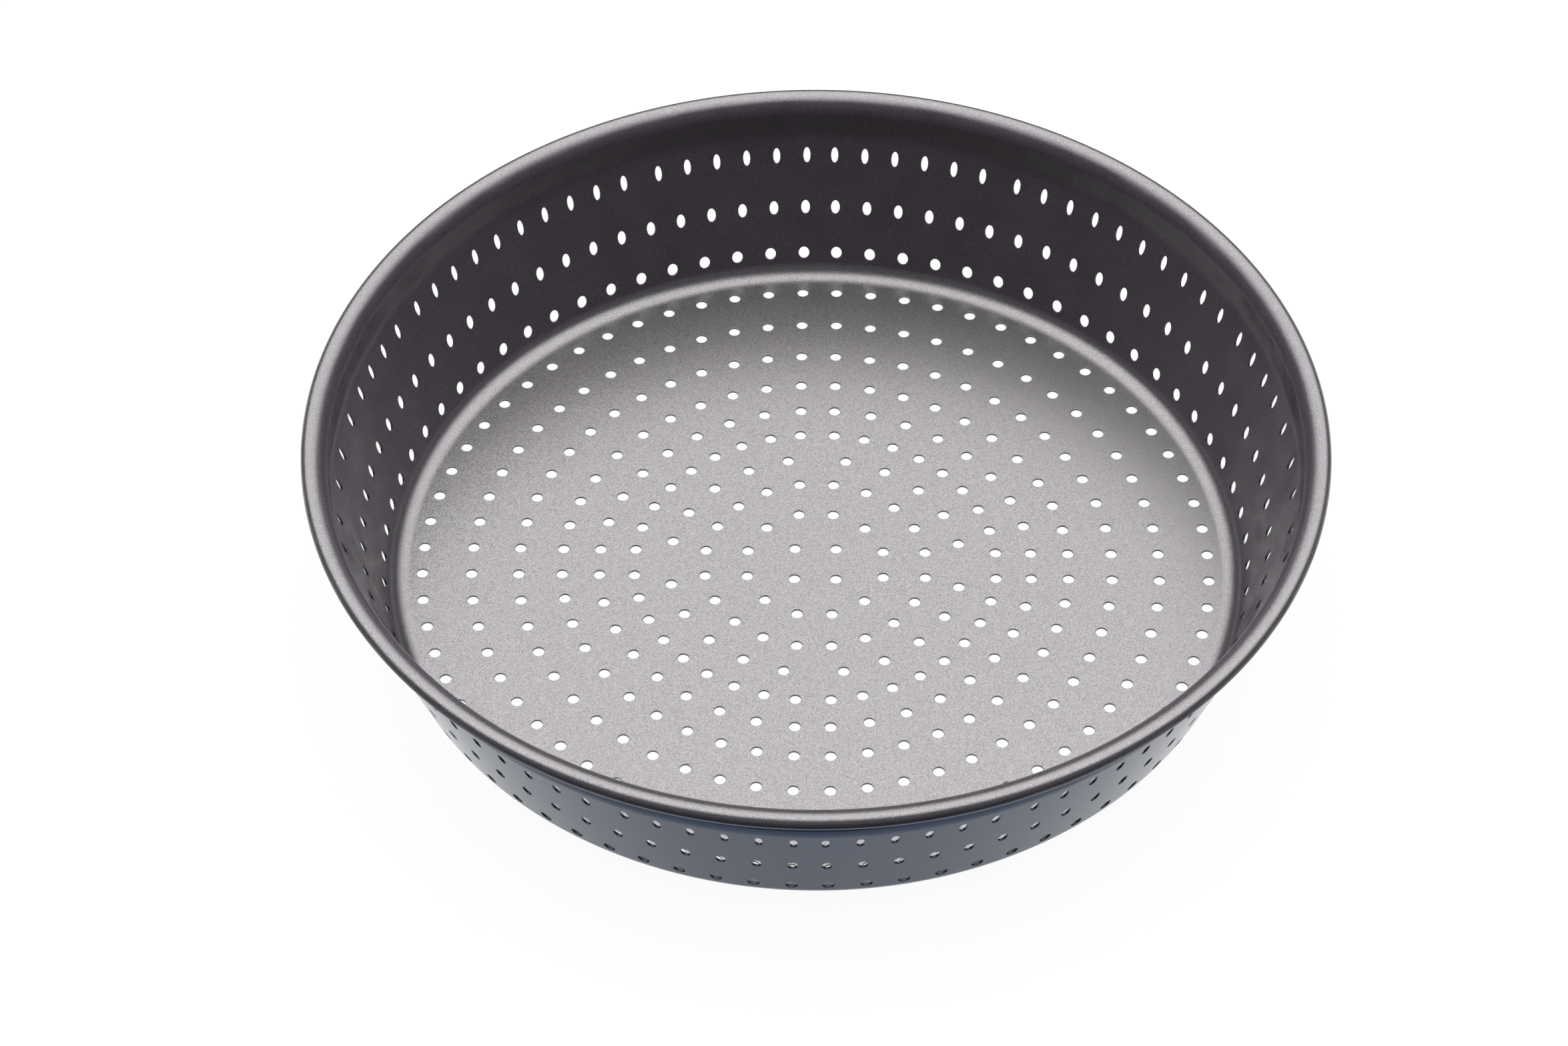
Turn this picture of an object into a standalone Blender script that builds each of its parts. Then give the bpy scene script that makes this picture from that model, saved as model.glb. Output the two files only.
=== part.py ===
# Perforated pie dish: a deep-drawn, punched sheet-steel dish with its rim rolled round a steel wire.
# The wall is a plain cone that ends in a short upright collar, and the rim turns outwards over it.
# Metres, +Z up. The origin is the middle of the underside, on the face that the dish stands on.
# The punched pattern is the same in all four quadrants, and +X and +Y are its two lines of symmetry.
import math

import bmesh
import bpy
from mathutils import Matrix, Vector

# Sheet and rim
MOUTH_DIAMETER = 0.2273     # clear width of the opening, inside the collar
DISH_HEIGHT = 0.0475        # underside of the base to the top of the rim
SHEET = 0.0006              # thickness of the steel
WALL_LEAN = 19.45           # degrees that the side wall leans out from upright
CORNER_RADIUS = 0.005       # inside radius between the base and the wall
COLLAR_BEND_RADIUS = 0.0097  # inside radius of the slight bend between the wall and the collar
COLLAR_HEIGHT = 0.0048      # upright stretch between that bend and the shoulder
SHOULDER_RADIUS = 0.0037    # inside radius of the broad bend out over the rim
ROLL_TURN = 250.0           # degrees that the roll turns from the top of the rim
WIRE_DIAMETER = 0.0017      # steel wire in the rim
WIRE_CLEARANCE = 0.0003     # between the wire and the sheet rolled round it
WIRE_END_GAP = 0.0012       # between the two ends of the bent wire
SEAM_INSET = 0.0006         # from the start of the corner in to the edge of the base panel
SEAM_GAP = 0.0003           # between the base panel and the side wall

# Punched holes
HOLE_DIAMETER = 0.0028      # of the base's holes; drawing the wall up has narrowed and lengthened its holes
HOLE_EDGE_WEB = 0.0005      # least sheet left between a hole and an edge or a bend
HOLE_PITCH = 0.0087         # usual distance between neighbouring holes of a ring
RING_STEP = 0.0117          # from the last ring of the base to any further one

# Rings of the base: radius, then the steps in degrees from the middle of each quadrant
# towards the X line and towards the Y line
BASE_RINGS = (
    (0.0070, (), ()),
    (0.0168, (30.7,), (30.7,)),
    (0.0267, (18.05,) * 2, (18.05,) * 2),
    (0.0351, (16.7,) * 2, (16.7,) * 2),
    (0.0435, (9.87,) * 4, (9.87,) * 4),
    (0.0519, (10.1,) * 4, (10.1,) * 4),
    (0.0608, (8.9, 8.9, 7.9, 7.9, 7.5), (8.2,) * 5),
    (0.0712, (6.93,) * 6, (6.93,) * 6),
    (0.0825, (6.0,) * 7, (6.0,) * 7),
    (0.0943, (5.3,) * 8, (5.3,) * 8),
)

# Rows of the side wall: distance up the wall from the end of the corner, width and length of a hole as
# shares of HOLE_DIAMETER, the first hole's angle from the Y line, then groups of (holes, degrees between
# them, degrees on to the next group)
WALL_ROWS = (
    (0.0026, 0.98, 1.16, 2.29, ((19, 4.738, 0.0),)),
    (0.0152, 0.80, 1.35, 2.02, ((21, 4.281, 0.0),)),
    (0.0294, 0.64, 1.52, 1.79,
     ((6, 3.90, 4.77), (10, 3.85, 4.67), (4, 3.84, 4.72), (1, 0.0, 5.86), (1, 0.0, 0.0))),
)

# Fineness of the solids
TURN_STEPS = 64             # flat faces round the dish
CORNER_STEPS = 4
COLLAR_STEPS = 2
SHOULDER_STEPS = 4
ROLL_STEPS = 6
HOLE_SIDES = 6
CUTTER_REACH = 0.0015       # a punch stands out this far on each side of the sheet
MERGE_DISTANCE = 0.00005

# Sizes that follow
LEAN = math.radians(WALL_LEAN)
HOLE_RADIUS = HOLE_DIAMETER / 2
BEND_RADIUS = CORNER_RADIUS + SHEET / 2
COLLAR_BEND = COLLAR_BEND_RADIUS + SHEET / 2
SHOULDER_BEND = SHOULDER_RADIUS + SHEET / 2
ROLL_BEND = WIRE_DIAMETER / 2 + WIRE_CLEARANCE + SHEET / 2
COLLAR_RADIUS = MOUTH_DIAMETER / 2 + SHEET / 2
RIM_RADIUS = COLLAR_RADIUS + SHOULDER_BEND
RIM_HEIGHT = DISH_HEIGHT - SHEET / 2 - ROLL_BEND
SHOULDER_HEIGHT = DISH_HEIGHT - SHEET / 2 - SHOULDER_BEND
COLLAR_FOOT_HEIGHT = SHOULDER_HEIGHT - COLLAR_HEIGHT
BASE_MIDDLE = SHEET / 2
WALL_TOP_RADIUS = COLLAR_RADIUS - COLLAR_BEND * (1 - math.cos(LEAN))
WALL_TOP_HEIGHT = COLLAR_FOOT_HEIGHT - COLLAR_BEND * math.sin(LEAN)
BEND_HEIGHT = BASE_MIDDLE + BEND_RADIUS
BEND_CENTRE = (WALL_TOP_RADIUS + (BEND_HEIGHT - WALL_TOP_HEIGHT) * math.tan(LEAN)
               - BEND_RADIUS / math.cos(LEAN))
WALL_FOOT_RADIUS = BEND_CENTRE + BEND_RADIUS * math.cos(LEAN)
WALL_FOOT_HEIGHT = BEND_HEIGHT - BEND_RADIUS * math.sin(LEAN)
WALL_LENGTH = (WALL_TOP_HEIGHT - WALL_FOOT_HEIGHT) / math.cos(LEAN)
SEAM_RADIUS = BEND_CENTRE - SEAM_INSET
PANEL_RADIUS = SEAM_RADIUS - SEAM_GAP / 2
WALL_START_RADIUS = SEAM_RADIUS + SEAM_GAP / 2


def clear_scene():
    for item in list(bpy.data.objects):
        bpy.data.objects.remove(item, do_unlink=True)


def new_collection(name):
    collection = bpy.data.collections.new(name)
    bpy.context.scene.collection.children.link(collection)
    return collection


def steel(name, colour, roughness, metallic):
    material = bpy.data.materials.new(name)
    material.use_nodes = True
    shader = material.node_tree.nodes["Principled BSDF"]
    shader.inputs["Base Color"].default_value = (*colour, 1.0)
    shader.inputs["Roughness"].default_value = roughness
    shader.inputs["Metallic"].default_value = metallic
    return material


def polar(radius, angle, height=0.0):
    return Vector((radius * math.cos(angle), radius * math.sin(angle), height))


def quadrant_copies(angle):
    """The same place in all four quadrants, for an angle in degrees from the Y line"""
    for line in (90.0, 270.0):
        for side in (-1, 1):
            yield math.radians(line + side * angle)


def ring_angles(towards_x, towards_y):
    """Angles in degrees from the Y line of one quadrant's holes, either way from its middle"""
    middle = 45.0
    angles = [middle]
    for step in towards_x:
        angles.append(angles[-1] + step)
    angle = middle
    for step in towards_y:
        angle -= step
        angles.append(angle)
    return angles


def further_ring(radius):
    """A ring past the listed ones: as many holes as the usual pitch gives, evenly round"""
    per_quadrant = round(radius * math.pi / 2 / HOLE_PITCH)
    step = 90.0 / per_quadrant
    return [(index + 0.5) * step for index in range(per_quadrant)]


def base_holes():
    """Centres (radius, angle) of the base's holes, in rings, as far out as the panel reaches"""
    limit = PANEL_RADIUS - HOLE_RADIUS - HOLE_EDGE_WEB
    rings = [(radius, ring_angles(*steps)) for radius, *steps in BASE_RINGS]
    radius = rings[-1][0] + RING_STEP
    while radius <= limit:
        rings.append((radius, further_ring(radius)))
        radius += RING_STEP
    for radius, angles in rings:
        if radius <= limit:
            for angle in angles:
                for turn in quadrant_copies(angle):
                    yield radius, turn


def row_angles(first, groups):
    """Angles in degrees from the Y line of one quadrant's holes in a wall row"""
    angle = first
    for count, step, gap in groups:
        for index in range(count):
            yield angle + index * step
        angle += (count - 1) * step + gap


def wall_holes():
    """Centres (radius, height, angle) of the wall's holes with their width and length as shares of the
    hole diameter, in rows, as far up as its straight part"""
    for distance, width, length, first, groups in WALL_ROWS:
        radius = WALL_FOOT_RADIUS + distance * math.sin(LEAN)
        height = WALL_FOOT_HEIGHT + distance * math.cos(LEAN)
        if distance <= WALL_LENGTH - HOLE_RADIUS * length - HOLE_EDGE_WEB:
            for angle in row_angles(first, groups):
                for turn in quadrant_copies(angle):
                    yield radius, height, turn, width, length


def add_outline(curve, points):
    spline = curve.splines.new("POLY")
    spline.points.add(len(points) - 1)
    for target, point in zip(spline.points, points):
        target.co = (*point, 1.0)
    spline.use_cyclic_u = True


def polygon(centre, radius, sides, turn):
    return [centre + polar(radius, turn + 2 * math.pi * index / sides) for index in range(sides)]


def make_base_panel(collection, material):
    """Flat punched base: a disc outline with a hexagonal outline for each hole, filled and extruded"""
    curve = bpy.data.curves.new("base_panel", "CURVE")
    curve.dimensions = "2D"
    curve.fill_mode = "BOTH"
    curve.extrude = SHEET / 2
    add_outline(curve, polygon(Vector(), PANEL_RADIUS, TURN_STEPS, 0.0))
    for radius, turn in base_holes():
        add_outline(curve, polygon(polar(radius, turn), HOLE_RADIUS, HOLE_SIDES, turn))
    panel = bpy.data.objects.new("base_panel", curve)
    panel.location.z = BASE_MIDDLE
    curve.materials.append(material)
    collection.objects.link(panel)
    return panel


def arc(centre, radius, start, sweep, steps):
    """Points (radius, height) along a round bend of the sheet, both ends included"""
    return [(centre[0] + radius * math.cos(start + sweep * index / steps),
             centre[1] + radius * math.sin(start + sweep * index / steps))
            for index in range(steps + 1)]


def sheet_profile():
    """Middle line of the sheet from the seam, up the corner and wall, and round the rim.
    A slight bend stands the sheet upright in the collar and the broad shoulder turns it outwards. From
    the top of the rim the roll carries it down the outer side and in again round the wire."""
    corner = arc((BEND_CENTRE, BEND_HEIGHT), BEND_RADIUS, -math.pi / 2, math.pi / 2 - LEAN, CORNER_STEPS)
    collar = arc((COLLAR_RADIUS - COLLAR_BEND, COLLAR_FOOT_HEIGHT), COLLAR_BEND, -LEAN, LEAN, COLLAR_STEPS)
    shoulder = arc((RIM_RADIUS, SHOULDER_HEIGHT), SHOULDER_BEND, math.pi, -math.pi / 2, SHOULDER_STEPS)
    roll = arc((RIM_RADIUS, RIM_HEIGHT), ROLL_BEND, math.pi / 2, -math.radians(ROLL_TURN), ROLL_STEPS)
    return [(WALL_START_RADIUS, BASE_MIDDLE)] + corner + collar + shoulder + roll[1:]


def make_wall_punches(collection):
    """One prism for each hole of the wall, square to the sheet, its length up the wall"""
    prisms = bmesh.new()
    square_to_wall = Vector((math.cos(LEAN), 0.0, -math.sin(LEAN))).to_track_quat("Z", "Y")
    for radius, height, turn, width, length in wall_holes():
        place = (Matrix.Rotation(turn, 4, "Z") @ Matrix.Translation((radius, 0.0, height))
                 @ square_to_wall.to_matrix().to_4x4() @ Matrix.Diagonal((width, length, 1.0, 1.0)))
        bmesh.ops.create_cone(prisms, cap_ends=True, segments=HOLE_SIDES, radius1=HOLE_RADIUS,
                              radius2=HOLE_RADIUS, depth=SHEET + 2 * CUTTER_REACH, matrix=place)
    mesh = bpy.data.meshes.new("wall_punches")
    prisms.to_mesh(mesh)
    prisms.free()
    punches = bpy.data.objects.new("wall_punches", mesh)
    punches.hide_render = True
    punches.display_type = "WIRE"
    collection.objects.link(punches)
    return punches


def make_side_wall(collection, material, punches):
    """Corner, wall and rolled rim: the sheet's middle line turned round Z, thickened, then punched"""
    profile = [(radius, 0.0, height) for radius, height in sheet_profile()]
    mesh = bpy.data.meshes.new("side_wall")
    mesh.from_pydata(profile, [(index, index + 1) for index in range(len(profile) - 1)], [])
    mesh.materials.append(material)
    wall = bpy.data.objects.new("side_wall", mesh)
    collection.objects.link(wall)
    turned = wall.modifiers.new("Turned", "SCREW")
    turned.steps = turned.render_steps = TURN_STEPS
    turned.use_merge_vertices = True
    turned.merge_threshold = MERGE_DISTANCE
    thickness = wall.modifiers.new("Sheet", "SOLIDIFY")
    thickness.thickness = SHEET
    thickness.offset = 0.0
    thickness.use_even_offset = True
    punched = wall.modifiers.new("Punched", "BOOLEAN")
    punched.operation = "DIFFERENCE"
    punched.solver = "EXACT"
    punched.object = punches
    return wall


def make_rim_wire(collection, material):
    """Steel wire in the roll: an almost closed ring whose two ends leave a small gap.
    Its bends lie at the same angles as the wall's, so that the clearance is even."""
    bend = 2 * math.pi / TURN_STEPS
    bends = [polar(RIM_RADIUS, index * bend) for index in range(TURN_STEPS + 1)]
    cut = WIRE_END_GAP / 2 / (bends[1] - bends[0]).length
    bends[0] = bends[0].lerp(bends[1], cut)
    bends[-1] = bends[-1].lerp(bends[-2], cut)
    curve = bpy.data.curves.new("rim_wire", "CURVE")
    curve.dimensions = "3D"
    curve.fill_mode = "FULL"
    curve.bevel_depth = WIRE_DIAMETER / 2
    curve.bevel_resolution = 2
    curve.use_fill_caps = True
    add_outline(curve, bends)
    curve.splines[0].use_cyclic_u = False
    wire = bpy.data.objects.new("rim_wire", curve)
    wire.location.z = RIM_HEIGHT
    curve.materials.append(material)
    collection.objects.link(wire)
    return wire


def shade_round(wall):
    wall.data.shade_smooth()


def main():
    clear_scene()
    dish = new_collection("perforated_pie_dish")
    cutters = new_collection("cutters")
    coated = steel("non_stick_coated_steel", (0.33, 0.32, 0.33), 0.45, 0.6)
    bright = steel("steel_wire", (0.56, 0.57, 0.58), 0.35, 1.0)
    make_base_panel(dish, coated)
    shade_round(make_side_wall(dish, coated, make_wall_punches(cutters)))
    make_rim_wire(dish, bright)


main()
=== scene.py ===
# Perforated pie dish: its coated, punched sheet, the steel wire in its rim, and a plain studio.
# Metres, +Z up. The origin is the middle of the underside, on the face that the dish stands on.
import math

import bpy
import numpy as np
from bpy.props import FloatProperty, FloatVectorProperty, IntProperty, PointerProperty
from mathutils import Matrix, Vector


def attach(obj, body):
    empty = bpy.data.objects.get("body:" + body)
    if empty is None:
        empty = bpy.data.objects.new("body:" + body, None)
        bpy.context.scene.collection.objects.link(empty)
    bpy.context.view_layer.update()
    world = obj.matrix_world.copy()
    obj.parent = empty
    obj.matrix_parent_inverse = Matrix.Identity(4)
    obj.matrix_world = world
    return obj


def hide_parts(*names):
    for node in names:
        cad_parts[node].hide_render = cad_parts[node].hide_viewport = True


bl_info = {
    "name": "Perforated pie dish",
    "version": (1, 0, 0),
    "blender": (4, 5, 0),
    "location": "View3D > Sidebar > Pie dish",
    "description": "Builds a coated and punched pie dish with its rim wire and studio",
    "category": "Object",
}

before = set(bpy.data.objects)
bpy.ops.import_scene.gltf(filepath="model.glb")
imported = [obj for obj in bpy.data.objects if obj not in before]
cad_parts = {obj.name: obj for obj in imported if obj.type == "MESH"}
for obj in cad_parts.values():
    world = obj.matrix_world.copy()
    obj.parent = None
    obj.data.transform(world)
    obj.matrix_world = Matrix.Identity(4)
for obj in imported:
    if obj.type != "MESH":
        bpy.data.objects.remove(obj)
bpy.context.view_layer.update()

# Sizes of the sheet, the same as the solids have
MOUTH_RADIUS = 0.11365      # clear opening inside the collar
DISH_HEIGHT = 0.0475
SHEET = 0.0006
LEAN = math.radians(19.45)
CORNER_BEND = 0.005 + SHEET / 2
COLLAR_BEND = 0.0097 + SHEET / 2
COLLAR_HEIGHT = 0.0048
SHOULDER_BEND = 0.0037 + SHEET / 2
ROLL_BEND = 0.00145
ROLL_TURN = math.radians(250.0)

# Where the parts of the sheet's middle line meet
COLLAR_RADIUS = MOUTH_RADIUS + SHEET / 2
COLLAR_FOOT_HEIGHT = DISH_HEIGHT - SHEET / 2 - SHOULDER_BEND - COLLAR_HEIGHT
WALL_TOP_RADIUS = COLLAR_RADIUS - COLLAR_BEND * (1 - math.cos(LEAN))
WALL_TOP_HEIGHT = COLLAR_FOOT_HEIGHT - COLLAR_BEND * math.sin(LEAN)
CORNER_HEIGHT = SHEET / 2 + CORNER_BEND
CORNER_TURN = math.pi / 2 - LEAN
CORNER_CENTRE = (WALL_TOP_RADIUS + (CORNER_HEIGHT - WALL_TOP_HEIGHT) * math.tan(LEAN)
                 - CORNER_BEND / math.cos(LEAN))
WALL_FOOT_HEIGHT = CORNER_HEIGHT - CORNER_BEND * math.sin(LEAN)
WALL_LENGTH = (WALL_TOP_HEIGHT - WALL_FOOT_HEIGHT) / math.cos(LEAN)

# Stretches of the middle line from the dish's centre: length, and how far it turns, left being inwards
STRETCHES = np.array((
    (CORNER_CENTRE, 0.0),
    (CORNER_BEND * CORNER_TURN, CORNER_TURN),
    (WALL_LENGTH, 0.0),
    (COLLAR_BEND * LEAN, LEAN),
    (COLLAR_HEIGHT, 0.0),
    (SHOULDER_BEND * math.pi / 2, -math.pi / 2),
    (ROLL_BEND * ROLL_TURN, -ROLL_TURN),
))
STARTS = np.concatenate(([0.0], np.cumsum(STRETCHES[:, 0])))
CORNER_START, WALL_START, COLLAR_START, UPRIGHT_START, SHOULDER_START, ROLL_START, SHEET_END = STARTS[1:]

# Rings of holes in the base: radius, then the steps in degrees from the middle of each quadrant
# towards the X line and towards the Y line
BASE_RINGS = (
    (0.0070, (), ()),
    (0.0168, (30.7,), (30.7,)),
    (0.0267, (18.05,) * 2, (18.05,) * 2),
    (0.0351, (16.7,) * 2, (16.7,) * 2),
    (0.0435, (9.87,) * 4, (9.87,) * 4),
    (0.0519, (10.1,) * 4, (10.1,) * 4),
    (0.0608, (8.9, 8.9, 7.9, 7.9, 7.5), (8.2,) * 5),
    (0.0712, (6.93,) * 6, (6.93,) * 6),
    (0.0825, (6.0,) * 7, (6.0,) * 7),
    (0.0943, (5.3,) * 8, (5.3,) * 8),
)

# Rows of holes in the wall: distance up it, half the height of a hole's patch of mesh, width and length
# of a hole as shares of the hole diameter, the first hole's angle in degrees from the Y line, then the
# steps on to the others
WALL_ROWS = (
    (0.0026, 0.0022, 0.98, 1.16, 2.29, (4.738,) * 18),
    (0.0152, 0.0027, 0.80, 1.35, 2.02, (4.281,) * 20),
    (0.0294, 0.0030, 0.64, 1.52, 1.79,
     (3.90,) * 5 + (4.77,) + (3.85,) * 9 + (4.67,) + (3.84,) * 3 + (4.72, 5.86)),
)
BASE_PATCH = 0.0023         # half the width of the mesh patch round a hole of the base

# Mesh round one hole: the hole has as many points as the border of its patch, which has PATCH_STEPS to
# each of its four edges, and both are counted from the same lower corner
HOLE_SIDES = 16
PATCH_STEPS = 4
PATCH_SIDE = np.array((-0.5, 0.0, 0.5))     # points up a side of the patch, in half heights from its middle
FIRST_POINT = -135.0                        # degrees round the hole
COLLAR_POINTS = 5

# Places of the sheet's materials
COATING, LACQUER, PUNCHED_EDGE = 0, 1, 2

# Fixed looks of the coating
BASE_TO_WALL = (0.0016, 0.0042)     # heights between which the coating becomes that of the drawn wall, whose darker grey is painted shade
WALL_TO_RIM = (0.0462, 0.0475)      # heights between which it turns back on the shoulder
FLAKE_NOISE = 0.6                   # scale of the flake noise times the flake size
FLAKE_LEAN = 0.35
WAVE_SCALE = 90.0
DRAWN_METALLIC = 0.03
DRAWN_ROUGHNESS = 0.17
COATING_SPECULAR = 0.32

# Fixed looks of the lacquer: orange peel and faint clouds
LACQUER_METALLIC = 0.2
LACQUER_SPECULAR = 0.12
PEEL_SCALE = 220.0
PEEL_STRENGTH = 0.08
PEEL_DEPTH = 0.0003
CLOUD_SCALE = 35.0
CLOUD_SHADE = 0.05

# Values between which a noise texture mostly stays
NOISE_LOW = 0.3
NOISE_HIGH = 0.7

# Camera and studio
PICTURE = (2350.0, 1568.0)          # width and height in pixels
MIDDLE_SEEN = (1222.03, 846.11)     # pixel at which the middle of the base lies
SENSOR_WIDTH = 36.0
FLOOR_REACH = 4.0
FLOOR_LEVEL = -0.0001
FLOOR_GLOW = 0.95
FLOOR_REFLECTANCE = 0.1
SCREEN_RADIUS = 1.6
SCREEN_STEPS = 48
SCREEN_ELEVATION = 29.0             # degrees that the screen's top stands above the dish at the back
SCREEN_RISE = 37.0                  # degrees that it stands higher in front
TABLE_OPENING = ((-0.26, -0.14), (0.26, 0.27))
TABLE_REACH = 3.0
TABLE_LEVEL = 0.0005
OVERHEAD_SIZE = (3.0, 1.85)
OVERHEAD_PLACE = (0.0, 0.6, 1.1)
OVERHEAD_AIM = (0.0, 0.6, 0.0)


class PieDishSheetSettings(bpy.types.PropertyGroup):
    hole_diameter: FloatProperty(
        name="Hole diameter", description="Width of the punched holes in the base",
        default=0.0028, min=0.001, max=0.004, subtype="DISTANCE", unit="LENGTH")
    edge_rounding: FloatProperty(
        name="Edge rounding", description="Radius that the coating leaves on the edge of a hole",
        default=0.00012, min=0.00002, max=0.00025, subtype="DISTANCE", unit="LENGTH")
    corner_steps: IntProperty(
        name="Corner steps", description="Faces along the bend between base and wall", default=9, min=3)
    shoulder_steps: IntProperty(
        name="Shoulder steps", description="Faces along the broad inner bend of the rim", default=12, min=4)
    roll_steps: IntProperty(
        name="Roll steps", description="Faces along the roll round the wire", default=24, min=8)
    coating_reach: FloatProperty(
        name="Coating reach", description="Turn of the roll, from the top of the rim, at which the sprayed "
        "coating ends", default=math.radians(96.0), subtype="ANGLE", unit="ROTATION")


def linear(srgb_hex):
    """Linear RGB of an sRGB hex colour: each part over 255, then the sRGB curve undone"""
    parts = [int(srgb_hex[place:place + 2], 16) / 255 for place in (0, 2, 4)]
    return tuple(part / 12.92 if part <= 0.04045 else ((part + 0.055) / 1.055) ** 2.4 for part in parts)


class PieDishCoatingSettings(bpy.types.PropertyGroup):
    colour: FloatVectorProperty(
        name="Coating colour", description="Grey of the metallic-flake non-stick coating",
        default=linear("A8A5A8"), size=3, min=0.0, max=1.0, subtype="COLOR")
    # The drawn colour is painted shade: a darker grey on the wall and collar standing in for their dark
    # reflections
    painted_shade_colour: FloatVectorProperty(
        name="Painted shade colour", description="Darker grey painted on the wall and collar as shade",
        default=linear("5F5960"), size=3, min=0.0, max=1.0, subtype="COLOR")
    roughness: FloatProperty(
        name="Coating roughness", description="Roughness of the flake coating",
        default=0.34, min=0.0, max=1.0, subtype="FACTOR")
    flake_size: FloatProperty(
        name="Flake size", description="Size of one metallic flake",
        default=0.0001, min=0.00005, max=0.002, subtype="DISTANCE", unit="LENGTH")
    sparkle: FloatProperty(
        name="Sparkle", description="How much lighter or darker a flake is than the coating",
        default=0.45, min=0.0, max=0.9, subtype="FACTOR")
    waviness: FloatProperty(
        name="Waviness", description="Lean of the faint waves that drawing leaves in the wall's coating",
        default=0.3, min=0.0, max=1.0, subtype="FACTOR")


class PieDishLacquerSettings(bpy.types.PropertyGroup):
    colour: FloatVectorProperty(
        name="Lacquer colour", description="Blue-grey of the gloss lacquer outside",
        default=linear("4B6486"), size=3, min=0.0, max=1.0, subtype="COLOR")
    roughness: FloatProperty(
        name="Lacquer roughness", description="Roughness of the gloss lacquer",
        default=0.14, min=0.0, max=1.0, subtype="FACTOR")
    # The punched edge colour is painted shade: a dark grey in the holes, where the sheet's thickness lies
    # in shade
    painted_shade_edge_colour: FloatVectorProperty(
        name="Punched edge colour", description="Dark grey painted as shade on the steel inside the holes",
        default=linear("4A484B"), size=3, min=0.0, max=1.0, subtype="COLOR")


class PieDishWireSettings(bpy.types.PropertyGroup):
    colour: FloatVectorProperty(
        name="Wire colour", description="Grey of the drawn steel wire",
        default=linear("C4C5C7"), size=3, min=0.0, max=1.0, subtype="COLOR")


class PieDishStageSettings(bpy.types.PropertyGroup):
    elevation: FloatProperty(
        name="Camera elevation", description="Height of the view above level",
        default=math.radians(47.071), subtype="ANGLE", unit="ROTATION")
    azimuth: FloatProperty(
        name="Camera azimuth", description="Turn of the view about the dish",
        default=math.radians(0.548), subtype="ANGLE", unit="ROTATION")
    roll: FloatProperty(
        name="Camera roll", description="Turn of the picture about the view's line",
        default=math.radians(0.172), subtype="ANGLE", unit="ROTATION")
    distance: FloatProperty(
        name="Camera distance", description="From the middle of the base",
        default=1.08841, min=0.3, subtype="DISTANCE", unit="LENGTH")
    lens: FloatProperty(
        name="Lens", description="Focal length in millimetres", default=104.029, min=20.0)
    overhead_power: FloatProperty(
        name="Overhead power", description="Power of the large overhead light, in watts", default=8.5)
    floor_colour: FloatVectorProperty(
        name="Floor colour", description="Colour of the floor", default=linear("FFFFFF"), size=3,
        min=0.0, max=1.0, subtype="COLOR")


def middle_line(distance):
    """Radius, height and heading of the sheet's middle line at a distance along it from the centre.
    Each stretch is an arc of steady turn: a point on it lies one chord from the stretch's start, the
    chord being the arc length times sin(half turn) over half turn, in the heading at half turn."""
    turns = STRETCHES[:, 1]
    bends = turns / STRETCHES[:, 0]
    headings = np.concatenate(([0.0], np.cumsum(turns)[:-1]))
    halves = turns / 2
    chords = STRETCHES[:, 0] * np.sinc(halves / np.pi)
    radii = np.concatenate(([0.0], np.cumsum(chords * np.cos(headings + halves))[:-1]))
    heights = SHEET / 2 + np.concatenate(([0.0], np.cumsum(chords * np.sin(headings + halves))[:-1]))
    which = np.clip(np.searchsorted(STARTS, distance, side="right") - 1, 0, len(turns) - 1)
    along = distance - STARTS[which]
    half = bends[which] * along / 2
    chord = along * np.sinc(half / np.pi)
    middle = headings[which] + half
    return radii[which] + chord * np.cos(middle), heights[which] + chord * np.sin(middle), middle + half


def sheet_surface(distance, turn, level, tilt):
    """Points and normals of the sheet. The middle line is turned about Z, and a point stands off it by
    its level along the side's normal. A normal is tilt[0] along the turn, tilt[1] along the middle line
    and tilt[2] off the sheet, towards the inside of the dish."""
    radius, height, heading = middle_line(distance)
    out = radius - level * np.sin(heading)
    points = np.stack((out * np.cos(turn), out * np.sin(turn), height + level * np.cos(heading)), 1)
    across = np.stack((-np.sin(turn), np.cos(turn), np.zeros_like(turn)), 1)
    along = np.stack((np.cos(heading) * np.cos(turn), np.cos(heading) * np.sin(turn), np.sin(heading)), 1)
    off = np.stack((-np.sin(heading) * np.cos(turn), -np.sin(heading) * np.sin(turn), np.cos(heading)), 1)
    normals = tilt[:, 0:1] * across + tilt[:, 1:2] * along + tilt[:, 2:3] * off
    return points, normals


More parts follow.
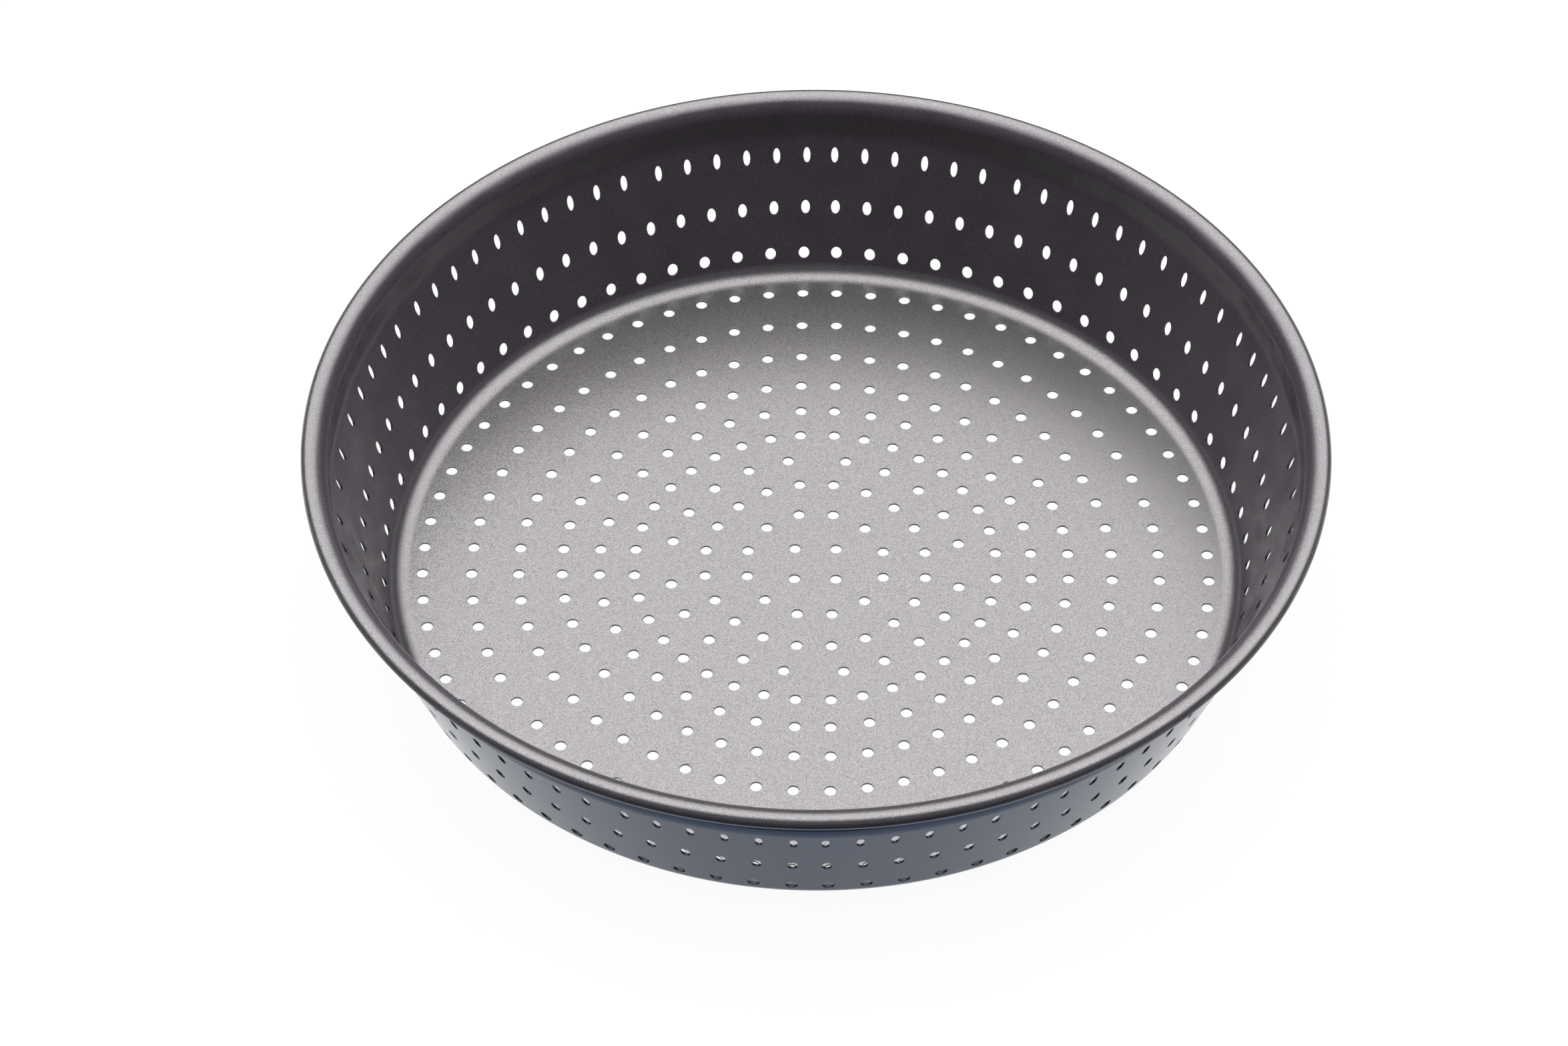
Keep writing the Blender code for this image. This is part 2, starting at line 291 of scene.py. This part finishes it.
class SheetMesh:
    """Points of the sheet, each as (distance, turn, level, normal), and the faces between them"""

    def __init__(self):
        self.points = []
        self.count = 0
        self.faces = []
        self.coats = []

    def add(self, distance, turn, level, tilt):
        """New points, whose arrays have one shape. Returns their numbers in that shape."""
        distance, turn, level = np.broadcast_arrays(distance, turn, level)
        tilt = np.broadcast_to(tilt, distance.shape + (3,))
        rows = np.concatenate((np.stack((distance, turn, level), -1), tilt), -1)
        self.points.append(rows.reshape(-1, 6))
        numbers = self.count + np.arange(distance.size).reshape(distance.shape)
        self.count += distance.size
        return numbers

    def add_both(self, distance, turn):
        """The same points on the inside and on the outside of the sheet"""
        inside = self.add(distance, turn, SHEET / 2, (0.0, 0.0, 1.0))
        outside = self.add(distance, turn, -SHEET / 2, (0.0, 0.0, -1.0))
        return inside, outside

    def face(self, *corners, coat):
        """Faces with those corners, each an array of point numbers"""
        faces = np.stack([np.asarray(corner).ravel() for corner in corners], 1)
        self.faces.append(faces)
        self.coats.append(np.full(len(faces), coat))

    def band(self, near, far, coats=(COATING, LACQUER)):
        """Quads between two loops of as many points, inside and outside"""
        for side in (0, 1):
            a, b = near[side], far[side]
            corners = (a, b, np.roll(b, -1), np.roll(a, -1))
            self.face(*(corners if side == 0 else corners[::-1]), coat=coats[side])

    def stitch(self, near, near_turns, far, far_turns):
        """Triangles between two loops of unlike counts: the edges of both are taken in the order of
        their middles round the dish, and each is joined to the point that the other loop has reached"""
        count_near, count_far = len(near_turns), len(far_turns)
        ends_near = np.append(near_turns, near_turns[0] + 2 * np.pi)
        ends_far = np.append(far_turns, far_turns[0] + 2 * np.pi)
        middles = np.concatenate(((ends_near[:-1] + ends_near[1:]) / 2, (ends_far[:-1] + ends_far[1:]) / 2))
        is_near = np.concatenate((np.ones(count_near, bool), np.zeros(count_far, bool)))
        is_near = is_near[np.argsort(middles, kind="stable")]
        reached_near = np.concatenate(([0], np.cumsum(is_near)[:-1]))
        reached_far = np.concatenate(([0], np.cumsum(~is_near)[:-1]))
        near_now, near_next = reached_near % count_near, (reached_near + 1) % count_near
        far_now, far_next = reached_far % count_far, (reached_far + 1) % count_far
        for side in (0, 1):
            a, b = near[side], far[side]
            last = np.where(is_near, a[near_next], b[far_next])
            corners = (a[near_now], b[far_now], last)
            self.face(*(corners if side == 0 else corners[::-1]), coat=(COATING, LACQUER)[side])

    def close(self, loop):
        """Fan from a loop to one point at the centre of the dish"""
        inside, outside = self.add_both(np.zeros(1), np.zeros(1))
        self.face(np.full(len(loop[0]), inside[0]), loop[0], np.roll(loop[0], -1), coat=COATING)
        self.face(np.full(len(loop[1]), outside[0]), np.roll(loop[1], -1), loop[1], coat=LACQUER)


def ring_turns(towards_x, towards_y):
    """Turns of a base ring's holes in all four quadrants, sorted, in radians"""
    from_y = [45.0, *(45.0 + np.cumsum(towards_x)), *(45.0 - np.cumsum(towards_y))]
    return mirrored(from_y)


def mirrored(from_y):
    """The angles in degrees from the Y line, repeated in all four quadrants, as sorted turns"""
    from_y = np.array(from_y)
    turns = np.concatenate([line + side * from_y for line in (90.0, 270.0) for side in (-1, 1)])
    return np.sort(np.radians(turns % 360.0))


def hole_patches(mesh, distance, turns, half_height, width, length, rounding):
    """A row of holes, each in a patch of the sheet that meets its neighbours halfway. On the sheet laid
    flat, a hole is the ellipse (width/2 cos t, length/2 sin t). Its edge rounds over from the face into
    the hole, runs through the sheet and rounds out again. Returns the row's lower and upper loops."""
    count = len(turns)
    bounds = (np.roll(turns, 1) + turns) / 2
    bounds[0] -= np.pi
    ends = np.append(bounds, bounds[0] + 2 * np.pi)
    share = np.arange(PATCH_STEPS) / PATCH_STEPS
    loop_turns = (ends[:-1, None] + np.diff(ends)[:, None] * share).ravel()
    lower = mesh.add_both(np.full(PATCH_STEPS * count, distance - half_height), loop_turns)
    upper = mesh.add_both(np.full(PATCH_STEPS * count, distance + half_height), loop_turns)
    side_distance = np.broadcast_to(distance + half_height * PATCH_SIDE, (count, len(PATCH_SIDE)))
    flanks = mesh.add_both(side_distance, np.repeat(bounds[:, None], len(PATCH_SIDE), 1))
    edges = []
    for side in (0, 1):
        low, high = lower[side].reshape(count, PATCH_STEPS), upper[side].reshape(count, PATCH_STEPS)
        flank, next_flank = flanks[side], np.roll(flanks[side], -1, 0)
        next_low, next_high = np.roll(low, -1, 0)[:, :1], np.roll(high, -1, 0)[:, :1]
        border = (low, next_low, next_flank, next_high, high[:, ::-1], flank[:, ::-1])
        edges.append(np.concatenate(border, 1))

    # Laid flat, the sheet here is a sector of a disc: its apex is radius / cos(heading) away, and a turn
    # about Z becomes cos(heading) times as wide about the apex
    radius, _, heading = middle_line(np.array([distance]))
    spread = np.cos(heading[0])
    apex = radius[0] / spread
    steps = np.radians(FIRST_POINT + 360.0 / HOLE_SIDES * np.arange(HOLE_SIDES))
    inward = -np.stack((length * np.cos(steps), width * np.sin(steps)), 1)
    inward /= np.linalg.norm(inward, axis=1)[:, None]

    def ring(grow, level, tilt):
        """The hole's ellipse grown by some distance, at a level, its normals tilted into the hole"""
        x = width / 2 * np.cos(steps) - grow * inward[:, 0]
        y = length / 2 * np.sin(steps) - grow * inward[:, 1]
        ring_distance = distance + np.hypot(apex + y, x) - apex
        ring_turn = turns[:, None] + np.arctan2(x, apex + y) / spread
        normal = np.column_stack((math.sin(tilt) * inward, np.full(HOLE_SIDES, math.cos(tilt))))
        return mesh.add(np.repeat(ring_distance[None], count, 0), ring_turn, level, normal[None])

    rings = (
        edges[0],
        ring(rounding, SHEET / 2, 0.0),
        ring(0.0, SHEET / 2 - rounding, math.pi / 2),
        ring(0.0, rounding - SHEET / 2, math.pi / 2),
        ring(rounding, -SHEET / 2, math.pi),
        edges[1],
    )
    coats = (COATING, COATING, PUNCHED_EDGE, LACQUER, LACQUER)
    for before, after, coat in zip(rings, rings[1:], coats):
        mesh.face(after, np.roll(after, -1, 1), np.roll(before, -1, 1), before, coat=coat)
    return (lower, loop_turns), (upper, loop_turns)


def build_sheet(settings):
    """The whole sheet from the centre of the base to the tucked edge of the rim, both faces closed"""
    mesh = SheetMesh()
    hole = settings.hole_diameter
    rounding = settings.edge_rounding
    reached = None
    for radius, towards_x, towards_y in BASE_RINGS:
        lower, upper = hole_patches(mesh, radius, ring_turns(towards_x, towards_y), BASE_PATCH,
                                    hole, hole, rounding)
        if reached is None:
            mesh.close(lower[0])
        else:
            mesh.stitch(*reached, *lower)
        reached = upper
    for row, (up, patch, width, length, first, steps) in enumerate(WALL_ROWS):
        turns = mirrored(np.concatenate(([first], first + np.cumsum(steps))))
        lower, upper = hole_patches(mesh, WALL_START + up, turns, patch,
                                    hole * width, hole * length, rounding)
        if row == 0:
            loop_turns = lower[1]
            corner = [mesh.add_both(np.full(len(loop_turns), distance), loop_turns)
                      for distance in np.linspace(CORNER_START, WALL_START, settings.corner_steps + 1)]
            mesh.stitch(*reached, corner[0], loop_turns)
            for near, far in zip(corner, corner[1:] + [lower[0]]):
                mesh.band(near, far)
        else:
            mesh.stitch(*reached, *lower)
        reached = upper
    near, loop_turns = reached
    collar = np.linspace(COLLAR_START, UPRIGHT_START, COLLAR_POINTS)
    shoulder = np.linspace(SHOULDER_START, ROLL_START, settings.shoulder_steps + 1)
    roll = np.linspace(ROLL_START, SHEET_END, settings.roll_steps + 1)[1:]
    coating_end = ROLL_START + ROLL_BEND * settings.coating_reach
    for distance in np.concatenate((collar, shoulder, roll)):
        far = mesh.add_both(np.full(len(loop_turns), distance), loop_turns)
        mesh.band(near, far, (COATING if distance < coating_end else LACQUER, LACQUER))
        near = far
    mesh.face(near[0], near[1], np.roll(near[1], -1), np.roll(near[0], -1), coat=LACQUER)
    return mesh


def mesh_object(name, mesh, materials):
    """A mesh object at the origin from a SheetMesh, with the sheet's own normals at every corner. The
    faces that were added last are the tucked edge of the rim, which faces along the middle line."""
    points = np.concatenate(mesh.points)
    places, normals = sheet_surface(points[:, 0], points[:, 1], points[:, 2], points[:, 3:])
    faces = [row for block in mesh.faces for row in block.tolist()]
    data = bpy.data.meshes.new(name)
    data.from_pydata(places.tolist(), [], faces)
    data.polygons.foreach_set("material_index", np.concatenate(mesh.coats).astype(np.int32))
    data.shade_smooth()
    corners = np.empty(len(data.loops), np.int32)
    data.loops.foreach_get("vertex_index", corners)
    corner_normals = normals[corners]
    edge = mesh.faces[-1].size
    edge_points = points[corners[-edge:], :3]
    corner_normals[-edge:] = sheet_surface(*edge_points.T, np.tile((0.0, 1.0, 0.0), (edge, 1)))[1]
    data.normals_split_custom_set(corner_normals.tolist())
    for material in materials:
        data.materials.append(material)
    data.update()
    item = bpy.data.objects.new(name, data)
    bpy.context.scene.collection.objects.link(item)
    return item


def add_node(tree, kind, sockets=None, **settings):
    """Adds a node: settings are its own properties, sockets its inputs' values or the outputs that they
    link to"""
    node = tree.nodes.new(kind)
    for name, value in settings.items():
        setattr(node, name, value)
    for name, value in (sockets or {}).items():
        if isinstance(value, bpy.types.NodeSocket):
            tree.links.new(value, node.inputs[name])
        else:
            node.inputs[name].default_value = value
    return node


def new_material(name):
    """An empty node material and its tree"""
    material = bpy.data.materials.new(name)
    material.use_nodes = True
    material.node_tree.nodes.clear()
    return material, material.node_tree


def shaded_wall_share(tree, place):
    """One on the wall and collar, where the coating gets a darker grey painted on as shade for the dark
    reflections there and is less metallic and smoother, and nought on the base and on the shoulder: the
    product of a smooth step up and a smooth step down with the height"""
    height = add_node(tree, "ShaderNodeSeparateXYZ", {0: place}).outputs["Z"]
    steps = [add_node(tree, "ShaderNodeMapRange",
                      {"Value": height, "From Min": low, "From Max": high, "To Min": bottom, "To Max": top},
                      interpolation_type="SMOOTHSTEP")
             for low, high, bottom, top in ((*BASE_TO_WALL, 0.0, 1.0), (*WALL_TO_RIM, 1.0, 0.0))]
    return add_node(tree, "ShaderNodeMath", {0: steps[0].outputs[0], 1: steps[1].outputs[0]},
                    operation="MULTIPLY").outputs[0]


def noise_shade(tree, noise, spread):
    """One more or less the spread, following a noise"""
    return add_node(tree, "ShaderNodeMapRange",
                    {"Value": noise.outputs["Fac"], "From Min": NOISE_LOW, "From Max": NOISE_HIGH,
                     "To Min": 1.0 - spread, "To Max": 1.0 + spread}).outputs["Result"]


def flake_non_stick_coating(settings):
    """PTFE non-stick coating with metallic flakes, sprayed and baked: a fine sparkle over grey, with a
    darker grey painted on the wall as shade, and less metallic there. Real flakes are finer than these,
    which are as fine as still shows."""
    material, tree = new_material("flake_non_stick_coating")
    place = add_node(tree, "ShaderNodeTexCoord").outputs["Object"]
    # drawn is the share of the wall and collar, where a darker grey is painted on as shade
    drawn = shaded_wall_share(tree, place)
    flakes = add_node(tree, "ShaderNodeTexNoise",
                      {"Vector": place, "Scale": FLAKE_NOISE / settings.flake_size, "Detail": 1.0,
                       "Roughness": 0.6})
    waves = add_node(tree, "ShaderNodeTexNoise", {"Vector": place, "Scale": WAVE_SCALE, "Detail": 1.0})
    wave_lean = add_node(tree, "ShaderNodeMath", {0: drawn, 1: settings.waviness}, operation="MULTIPLY")
    face = add_node(tree, "ShaderNodeNewGeometry").outputs["Normal"]
    for leaning, amount in ((flakes, FLAKE_LEAN), (waves, wave_lean.outputs[0])):
        centred = add_node(tree, "ShaderNodeVectorMath", {0: leaning.outputs["Color"], 1: (0.5, 0.5, 0.5)},
                           operation="SUBTRACT")
        slight = add_node(tree, "ShaderNodeVectorMath", {0: centred.outputs[0], "Scale": amount},
                          operation="SCALE")
        face = add_node(tree, "ShaderNodeVectorMath", {0: face, 1: slight.outputs[0]},
                        operation="ADD").outputs[0]
    flake_normal = add_node(tree, "ShaderNodeVectorMath", {0: face}, operation="NORMALIZE")
    # Painted shade: the darker grey mixed in on the wall and collar
    colour = add_node(tree, "ShaderNodeMix",
                      {"Factor": drawn, 6: (*settings.colour, 1.0), 7: (*settings.painted_shade_colour, 1.0)},
                      data_type="RGBA")
    shade = noise_shade(tree, flakes, settings.sparkle)
    tint = add_node(tree, "ShaderNodeVectorMath", {0: colour.outputs[2], "Scale": shade}, operation="SCALE")
    metallic = add_node(tree, "ShaderNodeMapRange",
                        {"Value": drawn, "To Min": 1.0, "To Max": DRAWN_METALLIC})
    rough = add_node(tree, "ShaderNodeMapRange",
                     {"Value": drawn, "To Min": settings.roughness, "To Max": DRAWN_ROUGHNESS})
    shader = add_node(tree, "ShaderNodeBsdfPrincipled",
                      {"Base Color": tint.outputs[0], "Metallic": metallic.outputs["Result"],
                       "Roughness": rough.outputs["Result"], "Specular IOR Level": COATING_SPECULAR,
                       "Normal": flake_normal.outputs[0]})
    add_node(tree, "ShaderNodeOutputMaterial", {"Surface": shader.outputs[0]})
    return material


def gloss_lacquer(settings):
    """Blue-grey stoving lacquer with a little metallic pigment, baked on the sheet: glossy, with a slight
    orange peel"""
    material, tree = new_material("gloss_stoving_lacquer")
    place = add_node(tree, "ShaderNodeTexCoord").outputs["Object"]
    peel = add_node(tree, "ShaderNodeTexNoise", {"Vector": place, "Scale": PEEL_SCALE, "Detail": 2.0})
    bump = add_node(tree, "ShaderNodeBump", {"Strength": PEEL_STRENGTH, "Distance": PEEL_DEPTH,
                                             "Height": peel.outputs["Fac"]})
    cloud = add_node(tree, "ShaderNodeTexNoise", {"Vector": place, "Scale": CLOUD_SCALE, "Detail": 2.0})
    shade = noise_shade(tree, cloud, CLOUD_SHADE)
    tint = add_node(tree, "ShaderNodeVectorMath", {0: settings.colour[:], "Scale": shade},
                    operation="SCALE")
    shader = add_node(tree, "ShaderNodeBsdfPrincipled",
                      {"Base Color": tint.outputs[0], "Metallic": LACQUER_METALLIC,
                       "Roughness": settings.roughness, "Specular IOR Level": LACQUER_SPECULAR,
                       "Normal": bump.outputs[0]})
    add_node(tree, "ShaderNodeOutputMaterial", {"Surface": shader.outputs[0]})
    return material


def uneven_steel(name, colour, scale, smoothest, roughest):
    """Bare steel whose roughness follows a noise of some scale"""
    material, tree = new_material(name)
    place = add_node(tree, "ShaderNodeTexCoord").outputs["Object"]
    marks = add_node(tree, "ShaderNodeTexNoise", {"Vector": place, "Scale": scale, "Detail": 2.0})
    rough = add_node(tree, "ShaderNodeMapRange",
                     {"Value": marks.outputs["Fac"], "To Min": smoothest, "To Max": roughest})
    shader = add_node(tree, "ShaderNodeBsdfPrincipled",
                      {"Base Color": (*colour, 1.0), "Metallic": 1.0, "Roughness": rough.outputs["Result"]})
    add_node(tree, "ShaderNodeOutputMaterial", {"Surface": shader.outputs[0]})
    return material


def punched_steel(settings):
    """Punched edge of the sheet inside a hole: steel with a dark grey painted on as shade in the hole"""
    return uneven_steel("punched_steel_painted_shade", settings.painted_shade_edge_colour,
                        scale=2500.0, smoothest=0.2, roughest=0.4)


def drawn_steel(settings):
    """Bare drawn steel wire: bright, with the fine marks of the die"""
    return uneven_steel("drawn_steel_wire", settings.colour,
                        scale=900.0, smoothest=0.26, roughest=0.44)


class PIEDISH_OT_sheet(bpy.types.Operator):
    """Build the punched, coated sheet of the dish in place of the two plain solids"""
    bl_idname = "pie_dish.sheet"
    bl_label = "Coated sheet"

    def execute(self, context):
        scene = context.scene
        materials = (flake_non_stick_coating(scene.pie_dish_coating), gloss_lacquer(scene.pie_dish_lacquer),
                     punched_steel(scene.pie_dish_lacquer))
        sheet = mesh_object("coated_sheet", build_sheet(scene.pie_dish_sheet), materials)
        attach(sheet, "root")
        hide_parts("base_panel", "side_wall")
        return {"FINISHED"}


class PIEDISH_OT_rim_wire(bpy.types.Operator):
    """Give the rim wire its drawn steel finish"""
    bl_idname = "pie_dish.rim_wire"
    bl_label = "Rim wire"

    def execute(self, context):
        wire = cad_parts["rim_wire"]
        wire.data.materials.clear()
        wire.data.materials.append(drawn_steel(context.scene.pie_dish_wire))
        return {"FINISHED"}


def rectangle(low, high, height):
    """Corners of a level rectangle between two opposite ones"""
    return [(low[0], low[1], height), (high[0], low[1], height),
            (high[0], high[1], height), (low[0], high[1], height)]


def square(reach, height):
    """Corners of a level square that reaches as far from the middle along X and Y"""
    return rectangle((-reach, -reach), (reach, reach), height)


def stage_faces(name, corners, faces, material):
    """A plain mesh that belongs to the stage"""
    data = bpy.data.meshes.new(name)
    data.from_pydata(corners, [], faces)
    data.materials.append(material)
    item = bpy.data.objects.new(name, data)
    bpy.context.scene.collection.objects.link(item)
    return item


def background_rays(tree):
    """One for rays that may show the background: from the camera, mirrored or passed through"""
    path = add_node(tree, "ShaderNodeLightPath")
    shown = path.outputs["Is Camera Ray"]
    for kind in ("Is Glossy Ray", "Is Transmission Ray"):
        shown = add_node(tree, "ShaderNodeMath", {0: shown, 1: path.outputs[kind]},
                         operation="ADD", use_clamp=True).outputs[0]
    return shown


def pale_floor(settings):
    """White studio board: mostly its own white where it shows, and lit enough to keep a soft shadow"""
    material, tree = new_material("pale_studio_board")
    strength = add_node(tree, "ShaderNodeMath", {0: background_rays(tree), 1: FLOOR_GLOW},
                        operation="MULTIPLY")
    glow = add_node(tree, "ShaderNodeEmission", {"Color": (*settings.floor_colour, 1.0),
                                                 "Strength": strength.outputs[0]})
    board = add_node(tree, "ShaderNodeBsdfDiffuse", {"Color": (*(FLOOR_REFLECTANCE,) * 3, 1.0)})
    both = add_node(tree, "ShaderNodeAddShader", {0: glow.outputs[0], 1: board.outputs[0]})
    add_node(tree, "ShaderNodeOutputMaterial", {"Surface": both.outputs[0]})
    return material


def grey_card():
    """Matt dark grey flag card, as photographers stand round shiny things"""
    material, tree = new_material("matt_grey_card")
    shader = add_node(tree, "ShaderNodeBsdfDiffuse", {"Color": (*linear("7C7C80"), 1.0)})
    add_node(tree, "ShaderNodeOutputMaterial", {"Surface": shader.outputs[0]})
    return material


def grey_cards():
    """Cards that keep the room dim in mirrored light, out of the camera's sight: a round screen,
    (r cos a, r sin a) with the angle a, whose top is level along the back and rises in front by the sine
    of the angle, and a level frame just above the floor round the dish"""
    card = grey_card()
    count = SCREEN_STEPS + 1
    turns = np.linspace(0.0, 2 * math.pi, count)
    rise = np.radians(SCREEN_ELEVATION + SCREEN_RISE * np.maximum(0.0, -np.sin(turns)))
    foot = np.stack((SCREEN_RADIUS * np.cos(turns), SCREEN_RADIUS * np.sin(turns), np.zeros(count)), 1)
    top = np.stack((foot[:, 0], foot[:, 1], SCREEN_RADIUS * np.tan(rise)), 1)
    corners = np.concatenate((foot, top)).tolist()
    steps = np.arange(SCREEN_STEPS)
    faces = np.stack((steps, steps + 1, steps + 1 + count, steps + count), 1).tolist()
    screen = stage_faces("round_card", corners, faces, card)
    corners = rectangle(*TABLE_OPENING, TABLE_LEVEL) + square(TABLE_REACH, TABLE_LEVEL)
    faces = [(4, 5, 1, 0), (5, 6, 2, 1), (6, 7, 3, 2), (7, 4, 0, 3)]
    surround = stage_faces("table_card", corners, faces, card)
    screen.visible_camera = False
    surround.visible_camera = False
    surround.visible_diffuse = False
    surround.visible_shadow = False


def studio_world(scene):
    """Plain white surroundings, which light the dish softly and show behind it"""
    world = bpy.data.worlds.new("studio")
    world.use_nodes = True
    tree = world.node_tree
    tree.nodes.clear()
    light = add_node(tree, "ShaderNodeBackground", {"Color": (1.0, 1.0, 1.0, 1.0), "Strength": 1.0})
    add_node(tree, "ShaderNodeOutputWorld", {"Surface": light.outputs[0]})
    scene.world = world


def add_area_lamp(name, size, place, aim, power):
    """A soft rectangular lamp that shines from its place towards a point"""
    lamp = bpy.data.lights.new(name, "AREA")
    lamp.shape = "RECTANGLE"
    lamp.size, lamp.size_y = size
    lamp.energy = power
    item = bpy.data.objects.new(name, lamp)
    item.location = place
    item.rotation_euler = (Vector(aim) - Vector(place)).to_track_quat("-Z", "Y").to_euler()
    bpy.context.scene.collection.objects.link(item)
    return item


def add_camera(scene, settings):
    """The camera looks at the middle of the base from its elevation, is turned about that line by its
    roll, and is then swung until that point lies at its place in the picture"""
    width, height = PICTURE
    across, down = MIDDLE_SEEN
    focal = settings.lens / SENSOR_WIDTH * width
    seen = Vector(((across - width / 2) / focal, -(down - height / 2) / focal, -1.0))
    middle = Vector((0.0, 0.0, SHEET / 2))
    away = Vector((0.0, -math.cos(settings.elevation), math.sin(settings.elevation)))
    facing = away.to_track_quat("Z", "Y").to_matrix()
    swing = seen.rotation_difference(Vector((0.0, 0.0, -1.0))).to_matrix()
    turned = facing @ Matrix.Rotation(settings.roll, 3, "Z") @ swing
    about = Matrix.Rotation(settings.azimuth, 3, "Z")
    data = bpy.data.cameras.new("camera")
    data.lens = settings.lens
    data.sensor_width = SENSOR_WIDTH
    data.clip_start = 0.01
    camera = bpy.data.objects.new("camera", data)
    camera.matrix_world = (Matrix.Translation(middle + about @ (away * settings.distance))
                           @ (about @ turned).to_4x4())
    scene.collection.objects.link(camera)
    scene.camera = camera


class PIEDISH_OT_stage(bpy.types.Operator):
    """Set the floor, the surroundings, the cards, the lamp and the camera"""
    bl_idname = "pie_dish.stage"
    bl_label = "Studio"

    def execute(self, context):
        scene = context.scene
        settings = scene.pie_dish_stage
        scene.view_settings.view_transform = "Standard"
        stage_faces("floor", square(FLOOR_REACH, FLOOR_LEVEL), [(0, 1, 2, 3)], pale_floor(settings))
        studio_world(scene)
        grey_cards()
        add_area_lamp("overhead_light", OVERHEAD_SIZE, OVERHEAD_PLACE, OVERHEAD_AIM,
                      settings.overhead_power)
        add_camera(scene, settings)
        return {"FINISHED"}


class PIEDISH_PT_panel(bpy.types.Panel):
    """Lists the pieces of the dish and their sizes and colours"""
    bl_label = "Pie dish"
    bl_idname = "PIEDISH_PT_panel"
    bl_space_type = "VIEW_3D"
    bl_region_type = "UI"
    bl_category = "Pie dish"

    def draw(self, context):
        layout = self.layout
        for owner, operators in PANEL_ROWS:
            box = layout.box()
            settings = getattr(context.scene, owner)
            for name in settings.__annotations__:
                box.prop(settings, name)
            for operator in operators:
                box.operator(operator)


SETTINGS = (
    ("pie_dish_sheet", PieDishSheetSettings),
    ("pie_dish_coating", PieDishCoatingSettings),
    ("pie_dish_lacquer", PieDishLacquerSettings),
    ("pie_dish_wire", PieDishWireSettings),
    ("pie_dish_stage", PieDishStageSettings),
)
PANEL_ROWS = (
    ("pie_dish_sheet", ("pie_dish.sheet",)),
    ("pie_dish_coating", ()),
    ("pie_dish_lacquer", ()),
    ("pie_dish_wire", ("pie_dish.rim_wire",)),
    ("pie_dish_stage", ("pie_dish.stage",)),
)
OPERATORS = (PIEDISH_OT_sheet, PIEDISH_OT_rim_wire, PIEDISH_OT_stage)


def register():
    for name, group in SETTINGS:
        bpy.utils.register_class(group)
        setattr(bpy.types.Scene, name, PointerProperty(type=group))
    for item in (*OPERATORS, PIEDISH_PT_panel):
        bpy.utils.register_class(item)


def unregister():
    for item in (PIEDISH_PT_panel, *reversed(OPERATORS)):
        bpy.utils.unregister_class(item)
    for name, group in reversed(SETTINGS):
        delattr(bpy.types.Scene, name)
        bpy.utils.unregister_class(group)


def main():
    register()
    bpy.ops.pie_dish.sheet()
    bpy.ops.pie_dish.rim_wire()
    bpy.ops.pie_dish.stage()


if __name__ == "__main__":
    main()
